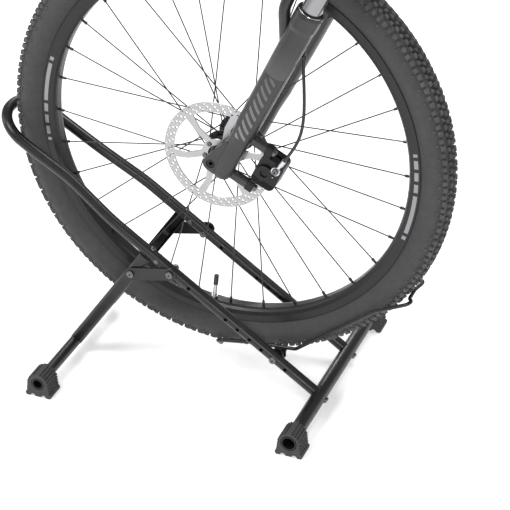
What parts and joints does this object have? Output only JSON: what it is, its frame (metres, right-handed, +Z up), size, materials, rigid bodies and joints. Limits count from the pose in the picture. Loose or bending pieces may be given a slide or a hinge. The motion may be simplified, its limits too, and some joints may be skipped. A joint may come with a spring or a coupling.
{
  "type": "bicycle front end on folding wheel stand",
  "caption": "Disc-brake suspension fork and spoked wheel held upright in a folding steel floor stand with a rocking wire cradle.",
  "frame": {"origin": "on the floor under the middle of the whole object's box", "axes": "+Z up, +X toward the rear of the bicycle, +Y toward its right side (away from the brake)"},
  "size_m": [0.7615, 0.424, 1.0259],
  "materials": {
    "stand_paint": "semi-gloss black powder coat",
    "wire_paint": "semi-gloss black powder coat",
    "dark_zinc": "dark zinc",
    "plug_plastic": "moulded",
    "foot_rubber": "matte dark grey",
    "tyre_rubber": "matte, lightly dusty",
    "tube_rubber": "matte",
    "rim_alloy": "dark satin anodised",
    "spoke_steel": "black stainless",
    "nipple_brass": "black plated",
    "hub_black": "black anodised",
    "bearing_steel": "ground",
    "rotor_steel": "bright brushed",
    "valve_brass": "nickel plated",
    "cap_plastic": "black moulded",
    "fork_paint": "dark grey satin paint",
    "bushing_polymer": "bronze-filled polymer",
    "shaft_alloy": "satin",
    "axle_alloy": "black anodised",
    "stanchion_black": "polished black anodised",
    "caliper_black": "black anodised",
    "fitting_steel": "satin",
    "hose_black": "black hose",
    "knob_blue": "anodised",
    "pad_steel": "plain with dark friction lining",
    "piston_ceramic": "ceramic"
  },
  "bodies": {
    "stand": {"base_tube": "stand_paint", "left_rail": "stand_paint", "right_rail": "stand_paint", "hoop": "stand_paint", "tube_plugs": "plug_plastic", "joint_screws": "dark_zinc", "base_screws": "dark_zinc", "fold_bolts": "dark_zinc", "cradle_bolts": "dark_zinc", "left_rear_foot": "foot_rubber", "right_rear_foot": "foot_rubber"},
    "front_legs": {"front_bar": "stand_paint", "left_strut": "stand_paint", "right_strut": "stand_paint", "left_link": "stand_paint", "right_link": "stand_paint", "strut_bolts": "dark_zinc", "left_front_foot": "foot_rubber", "right_front_foot": "foot_rubber"},
    "cradle": {"cradle_wire": "wire_paint", "left_cradle_bracket": "wire_paint", "right_cradle_bracket": "wire_paint"},
    "fork_lowers": {"fork_lowers": "fork_paint", "fork_bushings": "bushing_polymer", "fork_seals": "tube_rubber", "foot_bolts": "dark_zinc", "fork_shafts": "shaft_alloy", "thru_axle": "axle_alloy", "caliper": "caliper_black", "brake_bolts": "dark_zinc", "pad_pin": "bearing_steel", "hose_banjo": "fitting_steel", "hose_connector": "caliper_black", "hose_clips": "cap_plastic", "brake_hose": "hose_black"},
    "wheel": {"tyre": "tyre_rubber", "inner_tube": "tube_rubber", "rim": "rim_alloy", "left_spokes": "spoke_steel", "right_spokes": "spoke_steel", "nipples": "nipple_brass", "hub_shell": "hub_black", "hub_bearings": "bearing_steel", "hub_end_caps": "hub_black", "hub_sleeve": "hub_black", "rotor": "rotor_steel", "rotor_bolts": "dark_zinc", "valve": "valve_brass", "valve_cap": "cap_plastic"},
    "fork_uppers": {"stanchions": "stanchion_black", "seal_heads": "shaft_alloy", "crown": "fork_paint", "steerer": "shaft_alloy", "crown_race": "bearing_steel", "stanchion_caps": "axle_alloy"},
    "compression_dial": {"compression_knob": "knob_blue"},
    "outer_brake_pad": {"outer_pad": "pad_steel", "outer_piston": "piston_ceramic"},
    "inner_brake_pad": {"inner_pad": "pad_steel", "inner_piston": "piston_ceramic"}
  },
  "joints": [
    {"name": "legs_fold", "type": "hinge", "parent": "stand", "child": "front_legs", "pos_m": [-0.06082, 0, 0.2005], "axis": [0, -1, 0], "range_deg": [0, 95]},
    {"name": "bike_lift", "type": "slide", "parent": "stand", "child": "fork_lowers", "axis": [0, 0, 1], "range_m": [0, 0.45]},
    {"name": "cradle_tilt", "type": "hinge", "parent": "stand", "child": "cradle", "pos_m": [0.11631, 0, 0.07864], "axis": [0, 1, 0], "range_deg": [0, 48]},
    {"name": "wheel_spin", "type": "hinge", "parent": "fork_lowers", "child": "wheel", "pos_m": [0.01178, 0, 0.417], "axis": [0, 1, 0], "continuous": true},
    {"name": "fork_travel", "type": "slide", "parent": "fork_lowers", "child": "fork_uppers", "axis": [-0.4337, 0, -0.9011], "range_m": [0, 0.1], "stiffness_N_per_m": 4500, "springref_m": -0.02},
    {"name": "knob_turn", "type": "hinge", "parent": "fork_uppers", "child": "compression_dial", "pos_m": [0.23763, 0.066, 0.83878], "axis": [0.4337, 0, 0.9011], "range_deg": [0, 90]},
    {"name": "outer_pad_slide", "type": "slide", "parent": "fork_lowers", "child": "outer_brake_pad", "axis": [0, 1, 0], "range_m": [0, 0.0003]},
    {"name": "inner_pad_slide", "type": "slide", "parent": "fork_lowers", "child": "inner_brake_pad", "axis": [0, -1, 0], "range_m": [0, 0.0003]}
  ],
  "couplings": [
    {"joint": "cradle_tilt", "follows": "bike_lift", "rad_per_m": 1.86},
    {"joint": "inner_pad_slide", "follows": "outer_pad_slide", "ratio": 1}
  ]
}
